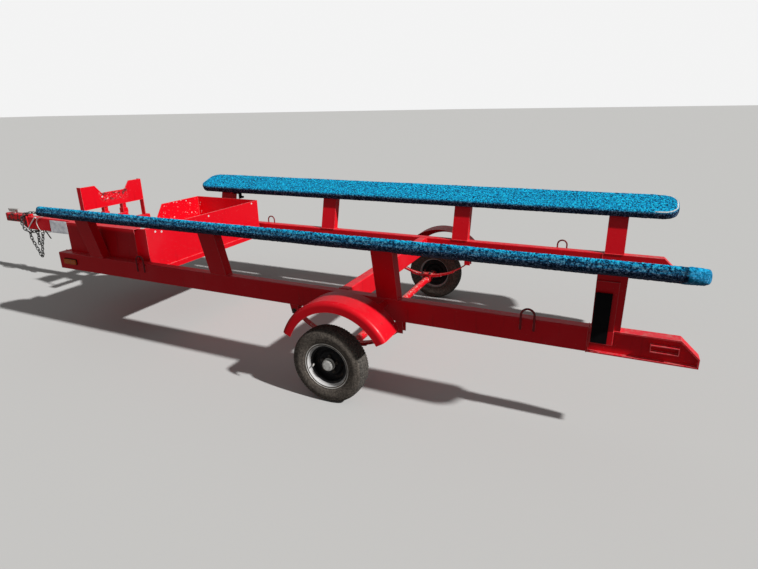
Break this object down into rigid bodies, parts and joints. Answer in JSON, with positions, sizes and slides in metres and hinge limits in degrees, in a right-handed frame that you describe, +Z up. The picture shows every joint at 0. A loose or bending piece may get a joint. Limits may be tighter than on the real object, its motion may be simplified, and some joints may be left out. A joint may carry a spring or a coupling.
{
  "type": "boat trailer",
  "caption": "Single-axle boat trailer with a pole tongue, carpeted bunks on leaning posts, open steel bin and notched bow stop",
  "frame": {"origin": "on the ground, at the middle of the trailer's overall length and width", "axes": "+X forwards to the coupler, +Y to the trailer's left, +Z up"},
  "size_m": [7.16, 2.38, 1.18],
  "materials": {
    "red_paint": "gloss red enamel with chips, dust and faded tops",
    "rim_paint": "dark grey wheel paint, worn to metal on the flange",
    "zinc": "weathered zinc plate",
    "chain_steel": "weathered zinc-plated chain with dark grime",
    "carpet": "blue marine carpet with dark and light flecks",
    "tyre": "weathered trailer tyre, sidewall gone grey",
    "rubber_pad": "matte black rubber",
    "amber_lamp": "amber lens"
  },
  "bodies": {
    "frame": {"axle": "red_paint", "bin": "red_paint", "bin_bearers": "red_paint", "bow_stop": "red_paint", "bow_stop_bar": "red_paint", "bunk_left": "carpet", "bunk_right": "carpet", "coupler": "red_paint", "coupler_latch": "zinc", "crossmember_axle": "red_paint", "crossmember_front": "red_paint", "fender_left": "red_paint", "fender_right": "red_paint", "marker_lamps": "amber_lamp", "post_aft_left": "red_paint", "post_aft_right": "red_paint", "post_fore_left": "red_paint", "post_fore_right": "red_paint", "post_front_left": "red_paint", "post_front_right": "red_paint", "post_rear_left": "red_paint", "post_rear_right": "red_paint", "post_straps": "red_paint", "rail_left": "red_paint", "rail_right": "red_paint", "rear_pads": "rubber_pad", "safety_chains": "chain_steel", "side_step": "red_paint", "spring_clamps": "red_paint", "spring_hangers": "red_paint", "spring_left": "red_paint", "spring_right": "red_paint", "stand_bracket": "red_paint", "tail_left": "red_paint", "tail_right": "red_paint", "tie_rings": "red_paint", "tongue": "red_paint", "tongue_gussets": "red_paint"},
    "wheel_left": {"tyre_left": "tyre", "rim_left": "rim_paint", "hub_left": "zinc"},
    "wheel_right": {"tyre_right": "tyre", "rim_right": "rim_paint", "hub_right": "zinc"},
    "stand": {"stand_leg": "red_paint"}
  },
  "joints": [
    {"name": "wheel_left_spin", "type": "hinge", "parent": "frame", "child": "wheel_left", "pos_m": [-1.46, 1.098, 0.265], "axis": [0, 1, 0], "continuous": true},
    {"name": "wheel_right_spin", "type": "hinge", "parent": "frame", "child": "wheel_right", "pos_m": [-1.46, -1.098, 0.265], "axis": [0, 1, 0], "continuous": true},
    {"name": "stand_swing", "type": "hinge", "parent": "frame", "child": "stand", "pos_m": [1.14, -0.838, 0.46], "axis": [0, 1, 0], "range_deg": [0, 90]}
  ]
}
